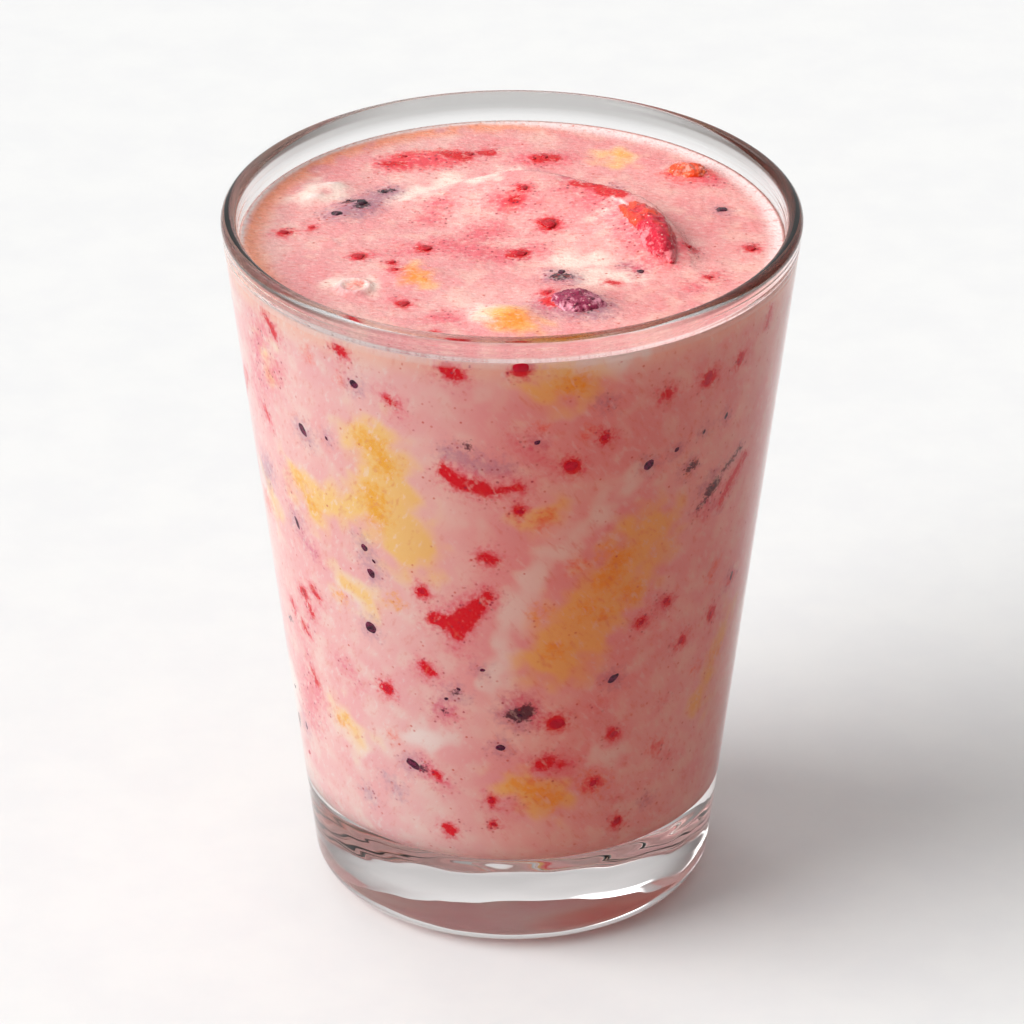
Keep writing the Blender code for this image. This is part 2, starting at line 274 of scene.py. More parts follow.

# Where the drink gets painted shade, deeper and rosier on its right, painted light, paler just under the
# level and peach along the left of the top, or froth: between which bearings, places across or along, depths
# under the level, or distances from the wall
PAINTED_SHADE_BEARINGS = (-42, 18)
PAINTED_SHADE_END_BEARINGS = (150, 180)
PAINTED_SHADE_ON_TOP = (0.12, 0.16, (-25, 35))
PAINTED_GLOW = 0.7
PAINTED_GLOW_DEPTHS = (0.8, 5.0)
PAINTED_GLOW_CLEARS_SHADE = 0.4
PAINTED_LIT_EDGE_FROM_WALL = (1.5, 5)
PAINTED_LIT_EDGE_ACROSS = (-6, 14)
PAINTED_LIT_EDGE_ALONG = (-28, -10)
FROTH_STARTS = (0.3, 0.5)
FROTH_ENDS = (1.2, 2.2)
FROTH_WIDER_ACROSS = (-5, 12)
FROTH_WIDER_ALONG = (-30, 0)
FROTH_UNDER_RIM = 0.35
FROTH_DEPTHS = (0.2, 1.3)
FROTH_WARP = 0.3

# Small marks lose this much of their breadth between the points of the mesh, so it is added to them
MESH_LOSS = {"red": 0.15, "ink": 0.15}

# How many strokes of each colour lie round the back, and their half breadths and lengths. The mango's ones
# have an orange middle, which is narrower than they are.
BACK_STROKES = {
    "cream": (5, (1.8, 2.8), (6, 18)),
    "mango": (7, (2.5, 6.5), (4, 12)),
    "plum": (9, (0.9, 2.6), (0, 5)),
    "coral": (8, (0.5, 1.6), (0, 3)),
    "ink": (6, (0.3, 0.7), (0, 2)),
    "red": (22, (0.3, 1.3), (0, 6)),
    "haze": (14, (1.6, 3.4), (0, 8)),
}
BACK_BEARINGS = (78, 282)
BACK_HEIGHTS = (22, 101)
BACK_LEANS = (20, 75)
ORANGE_IN_MANGO = 3
LEAST_ORANGE = 0.8

# Marks on the wall are noted where they show on the outer face. The drink's own point for each lies a little
# lower and further round, because the glass bends the light, and by less than that near the level.
SHOWN_LOWER = 1.0
SHOWN_ROUND = 1.04
LESS_NEAR_LEVEL = 0.6
LESS_LOWER_HEIGHTS = (90, 106)

# Seeds and dark skins on the wall: bearing, height, length, breadth, lean of the length from level
WALL_SEEDS = (
    (-33.0, 100.2, 1.6, 1.3, -50),
    (-49.3, 88.5, 2.3, 1.3, -60),
    (-42.0, 89.0, 0.7, 0.5, -60),
    (-56.7, 69.9, 2.2, 0.8, -68),
    (-34.6, 71.4, 1.3, 1.1, -50),
    (-33.4, 67.1, 1.7, 1.2, -60),
    (-32.4, 69.4, 0.8, 0.4, -50),
    (-35.2, 56.9, 2.1, 1.8, -50),
    (-26.4, 33.3, 2.4, 1.5, -35),
    (1.9, 44.5, 0.9, 0.6, -20),
    (25.1, 49.4, 2.0, 1.1, 40),
    (-2.9, 38.5, 1.5, 1.1, 0),
    (5.1, 94.0, 1.0, 0.7, 30),
    (50.3, 90.6, 1.1, 0.6, 60),
    (43.7, 89.7, 0.8, 0.5, 60),
    (-7.0, 52.8, 0.8, 0.6, 0),
    (29.7, 87.2, 1.9, 1.5, 50),
    (36.5, 88.4, 0.9, 0.7, 50),
    (-16.2, 46.8, 0.7, 0.5, 20),
    (-13.0, 48.9, 0.7, 0.5, -20),
    (-70.5, 29.2, 1.4, 0.7, -75),
    (63.3, 58.4, 1.6, 0.6, 75),
)

# Red bits on the wall, in the same way
WALL_BITS = (
    (1.8, 106.7, 2.4, 1.8, 0),
    (43.1, 98.8, 2.4, 1.5, 65),
    (12.2, 89.5, 1.9, 1.7, 10),
    (19.2, 93.7, 1.4, 1.0, 30),
    (52.5, 99.2, 1.4, 0.6, 60),
    (-20.9, 66.1, 1.3, 1.0, -30),
    (-32.4, 46.3, 1.6, 1.0, -50),
    (11.1, 42.6, 2.3, 1.7, 10),
    (26.5, 38.9, 1.4, 1.0, 30),
    (38.1, 61.1, 1.1, 0.8, 40),
    (31.5, 58.5, 1.2, 0.7, 40),
    (55.4, 54.1, 1.4, 0.7, 65),
    (29.8, 22.1, 1.4, 1.0, 40),
    (1.7, 81.8, 1.3, 0.8, -10),
    (44.6, 52.2, 1.3, 0.9, 55),
    (-58.3, 57.0, 1.6, 0.8, -65),
    (21.7, 30.4, 1.2, 1.0, 50),
    (-5.0, 24.0, 0.8, 0.6, 0),
    (-5.5, 28.3, 0.9, 0.7, 0),
)

# Seeds and bits on the top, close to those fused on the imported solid: across, along, size
TOP_SEEDS = (
    (-26.5, 7.7, 1.7), (-22.9, 11.3, 2.0), (-19.6, 16.1, 1.2), (31.9, 9.8, 1.6), (7.4, -12.9, 1.3),
    (19.2, -11.6, 1.3), (11.6, -24.0, 1.5), (-24.9, 12.4, 0.7), (-18.0, 16.6, 0.6), (5.9, -12.4, 0.6),
)
TOP_BITS = (
    (-13.0, -3.7, 2.0), (-23.1, -6.5, 2.2), (5.5, 3.9, 2.6), (1.1, -5.4, 2.2), (-16.0, -22.3, 1.8),
    (36.0, -3.7, 1.6), (-34.5, 1.8, 1.7), (-17.9, -8.5, 1.3), (1.8, 13.0, 1.4), (-16.5, 27.8, 0.9),
    (-6.6, 28.9, 1.2), (5.0, 27.8, 1.3), (-17.4, -11.2, 0.9), (26.5, -5.1, 1.2), (5.4, -20.3, 1.6),
    (3.3, 27.3, 0.9), (29.5, -13.5, 1.0), (-30.2, 3.4, 0.8),
)
BIT_FLATNESS = 0.26
WALL_BEAD_THICK = 0.4
WALL_BEAD_SUNK = 0.04
BEAD_BREADTHS = (0.55, 0.9)
BACK_SEED_COUNT = 26
BACK_BIT_COUNT = 34

# Fruit pieces that lie in the top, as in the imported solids: length, width, height, lumps, bend, then place
# across, along and above the level, turn round the vertical and tilt round the length
FRUIT = {
    "strawberry_piece": dict(
        size=(23.0, 6.0, 5.6), lumps=0.15, bend=60.0, seed=3.1, place=(20.6, 0.8, 0.9), turn=-70, tilt=12
    ),
    "strawberry_chip": dict(
        size=(6.6, 5.0, 2.6), lumps=0.18, bend=30.0, seed=5.7, place=(27.0, 22.6, 0.1), turn=-12, tilt=0
    ),
    "blueberry_piece": dict(
        size=(9.0, 6.6, 3.6), lumps=0.16, bend=40.0, seed=8.4, place=(9.6, -22.8, 0.2), turn=-8, tilt=0
    ),
}
LUMP_SCALE = 1.7
FRUIT_GRAIN = ((0.22, 1.1, 1), (0.12, 0.5, -1))
FRUIT_SIDES = 128
FRUIT_RINGS = 80

# The share of a matt thing's light that the glass over it turns back into it
TURNED_BACK = 0.6

# Camera and light, read from the photo
CAMERA_DISTANCE = 1.2
CAMERA_ELEVATION = math.radians(27.95)
CAMERA_TARGET_Z = 0.0601
FOCAL_PIXELS = 7815
IMAGE_PIXELS = 1024
SENSOR_MM = 36.0

# The glass's axis stands this many pixels off the photo's middle, and one millimetre of the front of the wall
# is this many pixels long
AXIS_OFF_MIDDLE = -0.3
PIXELS_PER_MM = 6.6
TOP_SEARCH = (5.0, -0.5)
TOP_SEARCH_STEPS = 300

# Soft boxes and bounced light round the glass: bearing, elevation, the angles from its middle at which it
# starts to fade and ends, and its strength
SOFT_BOXES = (
    (-77, 30, 20, 34, 6.7),
    (0, 90, 10, 75, 0.38),
    (180, 12, 25, 60, 0.5),
    (-150, 45, 5, 12, 2.5),
    (75, 5, 10, 50, 0.27),
)
DARK_WALLS = 0.15
FLOOR_HALF = 6000
FLOOR_DROP = 0.1

# Settings that several nodes share
SMOOTH = {"interpolation_type": "SMOOTHSTEP"}
COLOURS = {"data_type": "RGBA"}

# How far noise usually strays from its middle
NOISE_SPREAD = 0.12


def outer_radius(z):
    """Radius of the glass's straight outer wall at a height."""
    return FOOT_LINE_RADIUS + (RIM_RADIUS - FOOT_LINE_RADIUS) * z / HEIGHT


def inner_radius(z):
    """Radius of the inner wall, which is thicker towards the floor."""
    down = (HEIGHT - z) / (HEIGHT - FLOOR_Z)
    return outer_radius(z) - WALL_AT_RIM - (WALL_AT_FLOOR - WALL_AT_RIM) * down


def arc(centre, radii, start, end, steps):
    """Points of an elliptic arc in the profile plane, from one angle in degrees to another."""
    points = []
    for i in range(steps + 1):
        angle = math.radians(start + (end - start) * i / steps)
        points.append((centre[0] + radii[0] * math.cos(angle), centre[1] + radii[1] * math.sin(angle)))
    return points


def bowl_corner(grow, steps):
    """The rounded corner between the bowl's floor and its wall, from the floor up, grown into the glass."""
    floor_z = FLOOR_Z - grow
    radius = FLOOR_FILLET
    centre = (inner_radius(floor_z + radius) + grow - radius, floor_z + radius)
    return arc(centre, (radius, radius), -90, 0, steps)


def rippled(radius_at, low, high):
    """Points up a wall with the faint ripples that fire polishing leaves under a rim, fading at both ends."""
    points = []
    for i in range(1, RIPPLE_RINGS):
        share = i / RIPPLE_RINGS
        z = low + (high - low) * share
        fading = math.sin(math.pi * share)
        points.append((radius_at(z) + RIPPLE * fading * math.sin(2 * math.pi * z / RIPPLE_PITCH), z))
    return points


def glass_profile():
    """From the middle of the bowl's floor up the inside, over the lip and down to the base's hollow."""
    lip_z = HEIGHT - LIP_HEIGHT
    lip_half = (outer_radius(lip_z) - inner_radius(lip_z)) / 2
    lip_centre = (outer_radius(lip_z) - lip_half, lip_z)
    lean = math.atan((RIM_RADIUS - FOOT_LINE_RADIUS) / HEIGHT)
    heel_centre = (outer_radius(HEEL_RADIUS) - HEEL_RADIUS / math.cos(lean), HEEL_RADIUS)
    points = [(0, FLOOR_Z)]
    points += bowl_corner(0, CORNER_STEPS)
    points += rippled(inner_radius, LEVEL + RIPPLES_ABOVE_DRINK, lip_z)
    points += arc(lip_centre, (lip_half, LIP_HEIGHT), 180, 0, CORNER_STEPS)
    points += rippled(outer_radius, LEVEL - RIPPLES_BELOW_LEVEL, lip_z)[::-1]
    points += arc(heel_centre, (HEEL_RADIUS, HEEL_RADIUS), -math.degrees(lean), -90, CORNER_STEPS)
    for ring in range(HOLLOW_RINGS, -1, -1):
        share = ring / HOLLOW_RINGS
        points.append((HOLLOW_RADIUS * share, HOLLOW_DEPTH * (1 - share**2)))
    return points


def drink_profile():
    """From the middle of the drink's top out to the wall, down it and along the floor."""
    edge = inner_radius(LEVEL) + REACH
    top_edge = inner_radius(LEVEL + MENISCUS_RISE) + EDGE_REACH
    corner = bowl_corner(REACH, CORNER_STEPS)[::-1]
    rings = [(top_edge * i / TOP_RINGS, LEVEL) for i in range(TOP_RINGS + 1)]
    foot_r, foot_z = corner[0]
    for i in range(1, WALL_RINGS):
        share = i / WALL_RINGS
        rings.append((edge + (foot_r - edge) * share, LEVEL + (foot_z - LEVEL) * share))
    return rings + corner + [(corner[-1][0] / 2, corner[-1][1]), (0, corner[-1][1])]


def crest_line():
    """Points of a smooth curve through the crest's points, with the first and last only steering its ends."""
    crest = [Vector(point) for point in FOLD_CREST]
    line = []
    for before, start, end, after in zip(crest, crest[1:], crest[2:], crest[3:]):
        for i in range(CREST_STEPS):
            t = i / CREST_STEPS
            line.append(
                start
                + (end - before) * (t / 2)
                + (before * 2 - start * 5 + end * 4 - after) * (t**2 / 2)
                + (start * 3 - before - end * 3 + after) * (t**3 / 2)
            )
    return np.array(line)


def smoothstep(low, high, value):
    share = np.clip((value - low) / (high - low), 0, 1)
    return share * share * (3 - 2 * share)


def fold_height(flat):
    """Height of the swirl's fold above the level at flat points."""
    crest = crest_line()
    nearest = np.full(len(flat), np.inf)
    outward = np.zeros(len(flat), bool)
    for start, end in zip(crest, crest[1:]):
        along, away = end - start, flat - start
        share = np.clip(away @ along / (along @ along), 0, 1)
        distance = np.hypot(*(away - share[:, None] * along).T)
        closer = distance < nearest
        nearest[closer] = distance[closer]
        outward[closer] = (along[1] * away[:, 0] - along[0] * away[:, 1] < 0)[closer]
    bearing = np.arctan2(flat[:, 1] - FOLD_CENTRE[1], flat[:, 0] - FOLD_CENTRE[0])
    strength = smoothstep(*FOLD_BEARINGS[:2], bearing) * (1 - smoothstep(*FOLD_BEARINGS[2:], bearing))
    width = np.where(outward, FOLD_OUTER_WIDTH, FOLD_INNER_WIDTH)
    return FOLD_HEIGHT * strength * np.exp(-((nearest / width) ** 2))


def mound_height(flat):
    """Height of the low mounds above the level at flat points."""
    total = np.zeros(len(flat))
    for across, along, height, half_width, half_length, turn in MOUNDS:
        cos, sin = math.cos(math.radians(turn)), math.sin(math.radians(turn))
        x, y = flat[:, 0] - across, flat[:, 1] - along
        wide, long = (x * cos + y * sin) / half_width, (y * cos - x * sin) / half_length
        total += height * np.exp(-(wide**2) - long**2)
    return total


def bubble_height(flat):
    """Height of the open bubbles' raised rings, each with a low bead in its middle."""
    total = np.zeros(len(flat))
    for across, along, radius in BUBBLES:
        away = np.hypot(flat[:, 0] - across, flat[:, 1] - along)
        total += 0.28 * radius * np.exp(-(((away - radius) / (0.22 * radius + 0.1)) ** 2))
        total += 0.22 * radius * np.exp(-((away / (0.4 * radius)) ** 2))
    return total


def wobble(points, size, seed):
    """Smooth random offsets at points: bumps of about this size, each way from -1 to 1."""
    shift = Vector((seed, 0, 0))
    return np.array([noise.noise_vector(Vector(point) / size + shift) for point in points])


def even_noise(points, size, seed):
    """Smooth noise about 0.5 that seldom strays from it by more than 0.3, with finer noise on it."""
    rough = wobble(points, size, seed)[:, 0] + 0.5 * wobble(points, size / 2, seed + 1)[:, 1]
    return 0.5 + 0.15 * (rough - rough.mean()) / rough.std()


def top_height(flat):
    """Height of the drink's top at flat points, with its swirl, grain and rise where it wets the wall."""
    to_wall = inner_radius(LEVEL) - np.hypot(*flat.T)
    meniscus = MENISCUS_RISE * np.exp(-np.maximum(to_wall, 0) / MENISCUS_WIDTH)
    deep = np.column_stack([flat, np.zeros(len(flat))])
    ripples = sum(
        high * wobble(deep * (drawn, 1, 1), size, seed)[:, 0]
        for high, size, seed, drawn in RIPPLES
    )
    ripples *= smoothstep(0, CALM_WIDTH, to_wall)
    return LEVEL + fold_height(flat) + mound_height(flat) + meniscus + ripples + bubble_height(flat)


def sight_line(across, down):
    """The camera's place in millimetres, and the direction in which it sees a pixel of the photo."""
    sin, cos = math.sin(CAMERA_ELEVATION), math.cos(CAMERA_ELEVATION)
    eye = np.array([0, -CAMERA_DISTANCE * cos, CAMERA_TARGET_Z + CAMERA_DISTANCE * sin]) / MM
    right = (across - IMAGE_PIXELS / 2 - AXIS_OFF_MIDDLE) / FOCAL_PIXELS
    up = (IMAGE_PIXELS / 2 - down) / FOCAL_PIXELS
    return eye, np.array([right, cos + up * sin, up * cos - sin])


def seen_on_wall(across, down):
    """Bearing and height of the place on the glass's outer face that a pixel of the photo shows: the nearer
    of the two places where the sight line meets the cone of that face."""
    eye, towards = sight_line(across, down)
    flare = (RIM_RADIUS - FOOT_LINE_RADIUS) / HEIGHT
    radius_there, growth = FOOT_LINE_RADIUS + flare * eye[2], flare * towards[2]
    square = towards[0] ** 2 + towards[1] ** 2 - growth**2
    half_linear = eye[1] * towards[1] - growth * radius_there
    constant = eye[1] ** 2 - radius_there**2
    length = (-half_linear - math.sqrt(half_linear**2 - square * constant)) / square
    x, y, z = eye + towards * length
    return math.degrees(math.atan2(x, -y)), z


def seen_on_top(across, down):
    """The place on the drink's top that a pixel of the photo shows: where the sight line first dips under the
    fold and the mounds."""
    eye, towards = sight_line(across, down)
    above = np.linspace(*TOP_SEARCH, TOP_SEARCH_STEPS)
    flat = eye[:2] + ((LEVEL + above - eye[2]) / towards[2])[:, None] * towards[:2]
    return flat[np.argmax(fold_height(flat) + mound_height(flat) >= above)]


def laid_on(seen_at, strokes, scale=1.0):
    """Brush strokes with their points moved from the photo to the glass."""
    return [(half_breadth / scale, *(seen_at(*point) for point in line)) for half_breadth, *line in strokes]


def turned_rings(profile, columns):
    """Points of the rings between a profile's two ends on the axis, row after row, in millimetres."""
    radii, heights = np.array(profile, float)[1:-1].T
    bearings = np.arange(columns) * 2 * math.pi / columns
    x = np.outer(radii, np.sin(bearings))
    y = -np.outer(radii, np.cos(bearings))
    z = np.repeat(heights[:, None], columns, axis=1)
    return np.stack([x, y, z], axis=-1).reshape(-1, 3)


def turned_faces(rows, columns):
    """Faces of a closed skin: a fan round the first end, bands of quads, and a fan round the last end."""
    here = 1 + np.arange(rows * columns).reshape(rows, columns)
    beside = np.roll(here, -1, axis=1)
    last = rows * columns + 1
    bands = np.stack([here[:-1], here[1:], beside[1:], beside[:-1]], axis=-1).reshape(-1, 4).tolist()
    first_fan = [(0, a, b) for a, b in zip(here[0].tolist(), beside[0].tolist())]
    last_fan = [(a, last, b) for a, b in zip(here[-1].tolist(), beside[-1].tolist())]
    return first_fan + bands + last_fan


def add_piece(name, points, faces, materials):
    """A smooth mesh piece from points in millimetres."""
    mesh = bpy.data.meshes.new(name)
    mesh.from_pydata((np.asarray(points) * MM).tolist(), [], faces)
    mesh.shade_smooth()
    for material in materials:
        mesh.materials.append(material)
    piece = bpy.data.objects.new(name, mesh)
    bpy.context.scene.collection.objects.link(piece)
    return piece


def stroke_depth(flat, half_breadth, line):
    """How deep flat points lie inside a brush stroke, in millimetres, below zero outside it."""
    away = np.full(len(flat), np.inf)
    for start, end in zip(line, line[1:] if len(line) > 1 else line):
        start, along = np.array(start, float), np.subtract(end, start).astype(float)
        share = np.clip((flat - start) @ along / max(along @ along, 1e-9), 0, 1)
        away = np.minimum(away, np.hypot(*(flat - start - share[:, None] * along).T))
    return half_breadth - away


def unrolled(bearings, heights, from_bearing):
    """Wall points as arc length and height in millimetres, measured from one bearing."""
    round_by = (np.asarray(bearings, float) - from_bearing + 180) % 360 - 180
    heights = np.asarray(heights, float)
    return np.column_stack([np.radians(round_by) * inner_radius(heights), heights])


def wall_place(bearing, height):
    """Where a mark seen on the glass's outer face lies on the drink: bearing and height."""
    lower = SHOWN_LOWER * (1 - LESS_NEAR_LEVEL * smoothstep(*LESS_LOWER_HEIGHTS, height))
    return bearing * SHOWN_ROUND, height - lower


def wall_depth(bearings, heights, strokes):
    """How deep wall points lie inside the nearest of some strokes."""
    deepest = np.full(len(bearings), -np.inf)
    for half_breadth, *line in strokes:
        line = [wall_place(*point) for point in line]
        flat = unrolled(bearings, heights, line[0][0])
        flat_line = unrolled(*zip(*line), line[0][0]).tolist()
        deepest = np.maximum(deepest, stroke_depth(flat, half_breadth, flat_line))
    return deepest


def top_depth(flat, strokes):
    """How deep top points lie inside the nearest of some strokes."""
    return np.max([stroke_depth(flat, half_breadth, line) for half_breadth, *line in strokes], axis=0)


def back_strokes(rng):
    """Strokes round the back, of the same kinds as in front, swept up and round as the drink was stirred."""
    strokes = {"orange": []}
    for colour, (count, breadths, lengths) in BACK_STROKES.items():
        strokes[colour] = []
        for _ in range(count):
            bearing, height = rng.uniform(*BACK_BEARINGS), rng.uniform(*BACK_HEIGHTS)
            length, lean = rng.uniform(*lengths), rng.uniform(*BACK_LEANS)
            rise = length * math.sin(math.radians(lean))
            turn = math.degrees(length * math.cos(math.radians(lean)) / inner_radius(height))
            end = (bearing + turn, min(height + rise, LEVEL))
            strokes[colour].append((rng.uniform(*breadths), (bearing, height), end))
    for breadth, *line in strokes["mango"]:
        strokes["orange"].append((max(breadth - ORANGE_IN_MANGO, LEAST_ORANGE), *line))
    return strokes


def halos(marks, spread):
    """A stroke round each seed or bit, wider than it by a little, for the colour that it gives off."""
    return [(size / 2 + spread, place) for *place, size in marks]


def stir_colours_in(drink, points, rng):
    """Stores on the skin how deep each point lies inside each colour, and where its painted shade, painted
    light and froth with painted highlights lie.
    """
    behind = back_strokes(rng)
    store(drink, "swirl", even_noise(points, SWIRL_SIZE, 3))
    store(drink, "mottle", even_noise(points, MOTTLE_SIZE, 4))
    warp = sum(share * wobble(points, size, seed) for size, seed, share in WARPS)
    bent = points + warp
    bearings = np.degrees(np.arctan2(bent[:, 0], -bent[:, 1]))
    from_axis = np.hypot(points[:, 0], points[:, 1])
    on_top = (from_axis < inner_radius(points[:, 2]) - 0.05) & (points[:, 2] > LEVEL - 1)
    for colour, strokes in WALL_STROKES.items():
        in_wall = laid_on(seen_on_wall, strokes, PIXELS_PER_MM) + behind[colour]
        in_top = laid_on(seen_on_top, TOP_STROKES[colour])
        if colour in WALL_HALOS:
            wall_marks, top_marks = (WALL_SEEDS, TOP_SEEDS) if colour == "plum" else (WALL_BITS, TOP_BITS)
            in_wall += halos([mark[:3] for mark in wall_marks], WALL_HALOS[colour])
            in_top += halos(top_marks, TOP_HALOS[colour])
        depth = wall_depth(bearings, bent[:, 2], in_wall)
        depth[on_top] = top_depth(bent[on_top, :2], in_top)
        store(drink, colour, np.clip(depth + MESH_LOSS.get(colour, 0), -DEEPEST, DEEPEST))
    light_the_skin(drink, points, warp, on_top)


def light_the_skin(drink, points, warp, on_top):
    """Stores on the skin its painted shade, deeper and rosier on the right, its painted light, paler just
    under the level and peach along the left of the top, and its froth with painted highlights.
    """
    x, y, z = points.T
    true_bearings = np.degrees(np.arctan2(x, -y))
    # painted shade: the wall is deepened and rosier between these bearings, on the drink's right
    painted_shade = smoothstep(*PAINTED_SHADE_BEARINGS, true_bearings) * (1 - smoothstep(*PAINTED_SHADE_END_BEARINGS, true_bearings))
    # painted light: the wall is paler and peach just under the level, fading with depth
    painted_glow = PAINTED_GLOW * (1 - smoothstep(*PAINTED_GLOW_DEPTHS, LEVEL - z + warp[:, 0]))
    store(drink, "painted_glow", np.where(on_top, 0, painted_glow))
    # painted shade on the top: a little everywhere, more towards its right
    least, more, across = PAINTED_SHADE_ON_TOP
    painted_shade_top = least + more * smoothstep(*across, x)
    store(drink, "painted_shade", np.where(on_top, painted_shade_top, painted_shade * (1 - PAINTED_GLOW_CLEARS_SHADE * painted_glow)))
    to_wall = inner_radius(LEVEL) - np.hypot(x, y) + warp[:, 0] * FROTH_WARP
    right = smoothstep(*FROTH_WIDER_ACROSS, x) * smoothstep(*FROTH_WIDER_ALONG, y)
    starts, ends = (near + wider * right for near, wider in (FROTH_STARTS, FROTH_ENDS))
    ring = 1 - smoothstep(starts, ends, to_wall)
    # painted highlights: white glints on the top's bumps and round its bubble
    painted_glints = smoothstep(-0.2, 0.5, top_depth(points[:, :2], TOP_PAINTED_GLINTS)) * on_top
    under_rim = 1 - smoothstep(*FROTH_DEPTHS, LEVEL + 0.2 - z + warp[:, 1] * FROTH_WARP)
    store(drink, "froth_and_glints", np.maximum(np.where(on_top, ring, under_rim * FROTH_UNDER_RIM), painted_glints))
    # painted light: a bright peach band along the left of the top, near the wall
    painted_lit_edge = (1 - smoothstep(*PAINTED_LIT_EDGE_FROM_WALL, to_wall)) * (1 - smoothstep(*PAINTED_LIT_EDGE_ACROSS, x)) * on_top
    store(drink, "painted_lit_edge", painted_lit_edge * smoothstep(*PAINTED_LIT_EDGE_ALONG, y))


def store(piece, name, values):
    """Keeps one number for each point of a mesh under a name that its material reads."""
    made = piece.data.attributes.new(name, "FLOAT", "POINT")
    made.data.foreach_set("value", np.ascontiguousarray(values, np.float32))


def make_drink(materials, rng):
    """The smoothie: one closed skin with its swirl, its colours, and one material where it is wet and open
    and another where it lies against the glass."""
    profile = drink_profile()
    rings = turned_rings(profile, DRINK_COLUMNS)
    points = np.vstack([[0, 0, profile[0][1]], rings, [0, 0, profile[-1][1]]])
    on_top = points[:, 2] > LEVEL - 0.01
    points[on_top, 2] = top_height(points[on_top, :2])
    faces = turned_faces(len(profile) - 2, DRINK_COLUMNS)
    drink = add_piece("blended_drink", points, faces, materials)
    open_faces = DRINK_COLUMNS * TOP_RINGS
    slots = np.ones(len(faces), np.int32)
    slots[:open_faces] = 0
    drink.data.polygons.foreach_set("material_index", slots)
    stir_colours_in(drink, points, rng)
    return drink


def make_glass(material):
    """The pressed tumbler, turned finely so that its refractions are smooth."""
    profile = glass_profile()
    rings = turned_rings(profile, GLASS_COLUMNS)
    points = np.vstack([[0, 0, profile[0][1]], rings, [0, 0, profile[-1][1]]])
    return add_piece("pressed_tumbler", points, turned_faces(len(profile) - 2, GLASS_COLUMNS), [material])


def skin_of(shape, matrix):
    """A built shape's points, set in place by a matrix, and its faces. The shape is used up."""
    shape.transform(matrix)
    shape.verts.ensure_lookup_table()
    points = [tuple(vertex.co) for vertex in shape.verts]
    faces = [[vertex.index for vertex in face.verts] for face in shape.faces]
    shape.free()
    return points, faces


def fruit_piece(name, material, size, lumps, bend, seed, place, turn, tilt):
    """A lumpy, bent piece of fruit with a grainy cut face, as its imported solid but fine."""
    shape = bmesh.new()
    bmesh.ops.create_uvsphere(shape, u_segments=FRUIT_SIDES, v_segments=FRUIT_RINGS, radius=1)
    half_size = Vector(size) / 2
    shift = Vector((seed, 0, 0))
    for vertex in shape.verts:
        unit = vertex.co.copy()
        lump = 1 + lumps * noise.noise(unit * LUMP_SCALE + shift)
        at = Vector(u * half * lump for u, half in zip(unit, half_size))
        at += unit * sum(high * noise.noise(at / grain + shift * way) for high, grain, way in FRUIT_GRAIN)
        at.y -= at.x**2 / (2 * bend)
        vertex.co = at
    across, along, above = place
    spin = Matrix.Rotation(math.radians(turn), 4, "Z") @ Matrix.Rotation(math.radians(tilt), 4, "X")
    points, faces = skin_of(shape, Matrix.Translation((across, along, LEVEL + above)) @ spin)
    return add_piece(name, points, faces, [material])


def bead(size, frame_matrix, lumps, seed):
    """Points of one lumpy bead of a size along its own axes, set in place by a matrix, and its faces."""
    shape = bmesh.new()
    bmesh.ops.create_icosphere(shape, subdivisions=3, radius=1)
    for vertex in shape.verts:
        lump = 1 + lumps * noise.noise(vertex.co * 1.3 + Vector((seed, 0, 0)))
        vertex.co = Vector(c * s / 2 * lump for c, s in zip(vertex.co, size))
    return skin_of(shape, frame_matrix)


def wall_frame(bearing, height, lean, proud):
    """The matrix that lays a bead against the glass's inner wall: its length leans up from level."""
    bearing, height = wall_place(bearing, height)
    angle = math.radians(bearing)
    slope = math.atan2(inner_radius(LEVEL) - inner_radius(FLOOR_Z), LEVEL - FLOOR_Z)
    radius = inner_radius(height) + proud
    place = Matrix.Translation((radius * math.sin(angle), -radius * math.cos(angle), height))
    stand = Matrix.Rotation(angle, 4, "Z") @ Matrix.Rotation(math.pi / 2 + slope, 4, "X")
    return place @ stand @ Matrix.Rotation(math.radians(lean), 4, "Z")


def top_frame(across, along, turn):
    """The matrix that sets a bead half into the top."""
    height = float(top_height(np.array([[across, along]], float))[0])
    return Matrix.Translation((across, along, height)) @ Matrix.Rotation(turn, 4, "Z")


def make_beads(name, at_glass, in_the_open, wall_marks, top_marks, back_count, breadths, rng):
    """Every seed or every red bit as one piece: the marks in front and on top, and scattered ones behind.
    Those against the glass have one material and those on the open top another."""
    marks = list(wall_marks)
    for _ in range(back_count):
        length = rng.uniform(*breadths)
        place = (rng.uniform(*BACK_BEARINGS), rng.uniform(*BACK_HEIGHTS))
        marks.append((*place, length, length * rng.uniform(*BEAD_BREADTHS), rng.uniform(*BACK_LEANS)))
    points, faces = [], []

    def add(size, frame_matrix, lumps):
        more_points, more_faces = bead(size, frame_matrix, lumps, len(points) * 0.37)
        faces.extend([index + len(points) for index in face] for face in more_faces)
        points.extend(more_points)

    for bearing, height, length, breadth, lean in marks:
        against_wall = wall_frame(bearing, height, lean, REACH - WALL_BEAD_SUNK)
        add((length, breadth, WALL_BEAD_THICK), against_wall, 0.2)
    glass_faces = len(faces)
    for i, (across, along, size) in enumerate(top_marks):
        add((size, size * 0.8, size * BIT_FLATNESS), top_frame(across, along, i), 0.4)
    beads = add_piece(name, points, faces, [at_glass, in_the_open])
    slots = np.ones(len(faces), np.int32)
    slots[:glass_faces] = 0
    beads.data.polygons.foreach_set("material_index", slots)
    return beads


